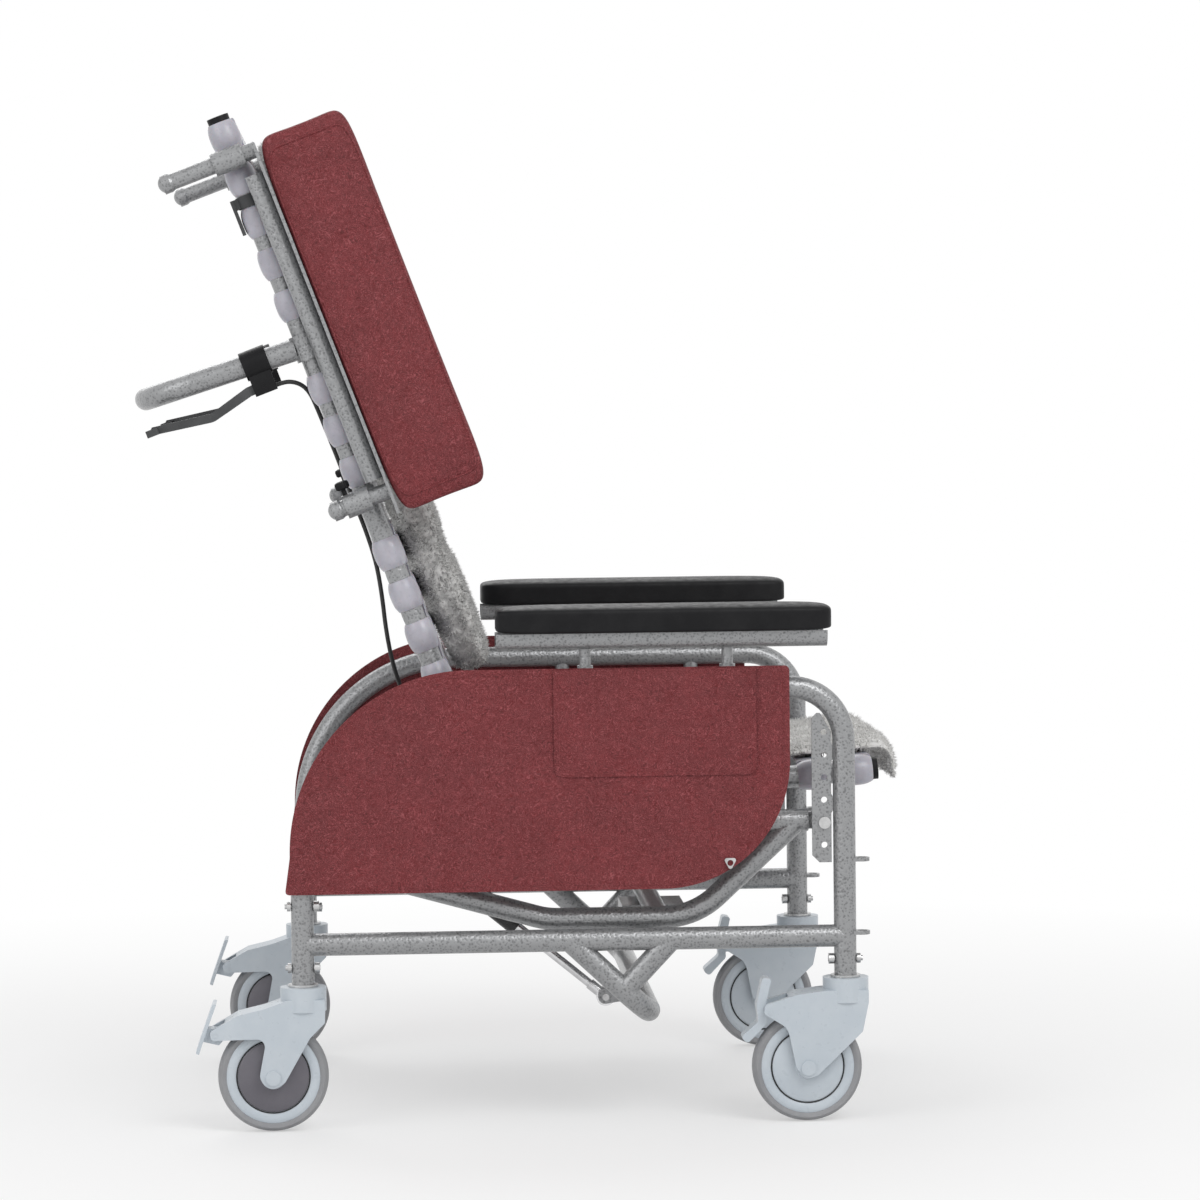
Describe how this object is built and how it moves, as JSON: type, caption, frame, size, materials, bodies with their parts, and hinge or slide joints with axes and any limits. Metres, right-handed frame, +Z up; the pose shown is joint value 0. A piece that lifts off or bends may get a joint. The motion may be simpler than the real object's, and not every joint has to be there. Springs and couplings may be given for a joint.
{
  "type": "tilt in space wheelchair",
  "caption": "Tilt-in-space wheelchair with swivel casters, a strapped seat and back, padded head wings, lift-up armrests and gas springs for tilt and recline.",
  "frame": {"origin": "on the floor under the centre of the bounding box", "axes": "+X forwards, the way the occupant faces; +Y to the occupant's left; +Z up"},
  "size_m": [0.8747, 0.656, 1.1548],
  "materials": {
    "hammertone": "hammered silver-grey lacquer",
    "burgundy_vinyl": "burgundy coated cloth with a fine crackle",
    "strap_pvc": "grey-lilac flexible plastic, satin",
    "white_fleece": "white fleece",
    "grey_fleece": "grey and white fleece",
    "black_moulded": "black, fine grained",
    "caster_grey": "light blue-grey",
    "tyre_grey": "mid grey, dull",
    "zinc": "zinc plated",
    "black_lacquer": "black gas spring body",
    "bright_rod": "polished",
    "black_rubber": "black"
  },
  "bodies": {
    "base": {"side_frame_right": "hammertone", "side_frame_left": "hammertone", "under_brace": "hammertone", "rear_cross_tube": "hammertone", "height_plates": "hammertone", "frame_bolts": "zinc", "tie_down_loops": "hammertone", "side_panel_right": "burgundy_vinyl", "side_panel_left": "burgundy_vinyl", "pocket_flaps": "burgundy_vinyl", "caster_stems": "zinc", "arm_sockets": "hammertone", "panel_rings": "zinc"},
    "tilt_carriage": {"tilt_frame": "hammertone"},
    "seat": {"seat_frame": "hammertone", "seat_straps": "strap_pvc", "seat_pad": "white_fleece", "seat_plugs": "black_moulded", "seat_pivot_bolts": "zinc"},
    "backrest": {"back_frame": "hammertone", "back_straps": "strap_pvc", "back_pad": "grey_fleece", "back_plugs": "black_moulded", "push_bar": "hammertone", "wing_sleeves": "hammertone", "lever_housings": "black_moulded", "strap_buckle": "black_moulded", "release_cable": "black_rubber", "wing_knobs": "black_moulded"},
    "wing_right": {"wing_frame_right": "hammertone", "wing_pad_right": "burgundy_vinyl"},
    "wing_left": {"wing_frame_left": "hammertone", "wing_pad_left": "burgundy_vinyl"},
    "arm_right": {"arm_frame_right": "hammertone", "arm_pad_right": "black_moulded"},
    "arm_left": {"arm_frame_left": "hammertone", "arm_pad_left": "black_moulded"},
    "tilt_spring_lower": {"tilt_spring_rod": "bright_rod"},
    "tilt_spring_upper": {"tilt_spring_cylinder": "black_lacquer"},
    "recline_spring_front": {"recline_spring_cylinder": "black_lacquer"},
    "recline_spring_rear": {"recline_spring_rod": "bright_rod"},
    "tilt_hand_lever": {"tilt_lever": "black_moulded"},
    "recline_hand_lever": {"recline_lever": "black_moulded"},
    "caster_rear_right": {"caster_rear_right_fork": "caster_grey"},
    "wheel_rear_right": {"caster_rear_right_tyre": "tyre_grey", "caster_rear_right_hub": "caster_grey"},
    "brake_rear_right": {"caster_rear_right_pedal": "caster_grey"},
    "caster_rear_left": {"caster_rear_left_fork": "caster_grey"},
    "wheel_rear_left": {"caster_rear_left_tyre": "tyre_grey", "caster_rear_left_hub": "caster_grey"},
    "brake_rear_left": {"caster_rear_left_pedal": "caster_grey"},
    "caster_front_right": {"caster_front_right_fork": "caster_grey"},
    "wheel_front_right": {"caster_front_right_tyre": "tyre_grey", "caster_front_right_hub": "caster_grey"},
    "brake_front_right": {"caster_front_right_pedal": "caster_grey"},
    "caster_front_left": {"caster_front_left_fork": "caster_grey"},
    "wheel_front_left": {"caster_front_left_tyre": "tyre_grey", "caster_front_left_hub": "caster_grey"},
    "brake_front_left": {"caster_front_left_pedal": "caster_grey"}
  },
  "joints": [
    {"name": "tilt", "type": "hinge", "parent": "base", "child": "tilt_carriage", "pos_m": [0.3391, 0, 0.3395], "axis": [0, -1, 0], "range_deg": [0, 18]},
    {"name": "rock", "type": "hinge", "parent": "tilt_carriage", "child": "seat", "pos_m": [0.12833, 0, 0.39962], "axis": [0, -1, 0], "range_deg": [-4.5, 1.5]},
    {"name": "recline", "type": "hinge", "parent": "seat", "child": "backrest", "pos_m": [-0.0387, 0, 0.356], "axis": [0, -1, 0], "range_deg": [0, 30]},
    {"name": "wing_right_slide", "type": "slide", "parent": "backrest", "child": "wing_right", "axis": [0.9354, 0, 0.3535], "range_m": [-0.008, 0.008]},
    {"name": "wing_left_slide", "type": "slide", "parent": "backrest", "child": "wing_left", "axis": [0.9354, 0, 0.3535], "range_m": [-0.008, 0.008]},
    {"name": "arm_right_lift", "type": "slide", "parent": "base", "child": "arm_right", "axis": [0, 0, 1], "range_m": [0, 0.1]},
    {"name": "arm_left_lift", "type": "slide", "parent": "base", "child": "arm_left", "axis": [0, 0, 1], "range_m": [0, 0.1]},
    {"name": "tilt_spring_swing", "type": "hinge", "parent": "base", "child": "tilt_spring_lower", "pos_m": [0.1003, -0.06, 0.114], "axis": [0, -1, 0], "range_deg": [-1, 27]},
    {"name": "tilt_spring_slide", "type": "slide", "parent": "tilt_spring_lower", "child": "tilt_spring_upper", "axis": [0.7721, 0, -0.6355], "range_m": [-0.002, 0.1]},
    {"name": "recline_spring_swing", "type": "hinge", "parent": "seat", "child": "recline_spring_front", "pos_m": [0.28417, 0.06, 0.36016], "axis": [0, -1, 0], "range_deg": [-3, 1]},
    {"name": "recline_spring_slide", "type": "slide", "parent": "recline_spring_front", "child": "recline_spring_rear", "axis": [0.9692, 0, 0.2464], "range_m": [-0.002, 0.04]},
    {"name": "tilt_lever_squeeze", "type": "hinge", "parent": "backrest", "child": "tilt_hand_lever", "pos_m": [-0.28846, -0.228, 0.84156], "axis": [0, 1, 0], "range_deg": [0, 7], "stiffness_Nm_per_rad": 0.8, "springref_deg": -17.19},
    {"name": "recline_lever_squeeze", "type": "hinge", "parent": "backrest", "child": "recline_hand_lever", "pos_m": [-0.28846, 0.228, 0.84156], "axis": [0, 1, 0], "range_deg": [0, 7], "stiffness_Nm_per_rad": 0.8, "springref_deg": -17.19},
    {"name": "swivel_rear_right", "type": "hinge", "parent": "base", "child": "caster_rear_right", "pos_m": [-0.2537, -0.29, 0.15], "axis": [0, 0, 1], "continuous": true},
    {"name": "roll_rear_right", "type": "hinge", "parent": "caster_rear_right", "child": "wheel_rear_right", "pos_m": [-0.2887, -0.29, 0.0625], "axis": [0, 1, 0], "continuous": true},
    {"name": "brake_rear_right_press", "type": "hinge", "parent": "caster_rear_right", "child": "brake_rear_right", "pos_m": [-0.3532, -0.29, 0.1115], "axis": [0, -1, 0], "range_deg": [0, 8]},
    {"name": "swivel_rear_left", "type": "hinge", "parent": "base", "child": "caster_rear_left", "pos_m": [-0.2537, 0.29, 0.15], "axis": [0, 0, 1], "continuous": true},
    {"name": "roll_rear_left", "type": "hinge", "parent": "caster_rear_left", "child": "wheel_rear_left", "pos_m": [-0.2887, 0.29, 0.0625], "axis": [0, 1, 0], "continuous": true},
    {"name": "brake_rear_left_press", "type": "hinge", "parent": "caster_rear_left", "child": "brake_rear_left", "pos_m": [-0.3532, 0.29, 0.1115], "axis": [0, -1, 0], "range_deg": [0, 8]},
    {"name": "swivel_front_right", "type": "hinge", "parent": "base", "child": "caster_front_right", "pos_m": [0.3618, -0.29, 0.15], "axis": [0, 0, 1], "continuous": true},
    {"name": "roll_front_right", "type": "hinge", "parent": "caster_front_right", "child": "wheel_front_right", "pos_m": [0.3168, -0.29, 0.0625], "axis": [0, 1, 0], "continuous": true},
    {"name": "brake_front_right_press", "type": "hinge", "parent": "caster_front_right", "child": "brake_front_right", "pos_m": [0.2745, -0.29, 0.1255], "axis": [0, -1, 0], "range_deg": [0, 8]},
    {"name": "swivel_front_left", "type": "hinge", "parent": "base", "child": "caster_front_left", "pos_m": [0.3618, 0.29, 0.15], "axis": [0, 0, 1], "continuous": true},
    {"name": "roll_front_left", "type": "hinge", "parent": "caster_front_left", "child": "wheel_front_left", "pos_m": [0.3168, 0.29, 0.0625], "axis": [0, 1, 0], "continuous": true},
    {"name": "brake_front_left_press", "type": "hinge", "parent": "caster_front_left", "child": "brake_front_left", "pos_m": [0.2745, 0.29, 0.1255], "axis": [0, -1, 0], "range_deg": [0, 8]}
  ],
  "couplings": [
    {"joint": "tilt_spring_swing", "follows": "tilt", "ratio": 1.3594},
    {"joint": "tilt_spring_slide", "follows": "tilt", "m_per_rad": 0.31152},
    {"joint": "recline_spring_swing", "follows": "recline", "ratio": -0.0549},
    {"joint": "recline_spring_slide", "follows": "recline", "m_per_rad": 0.0728}
  ]
}
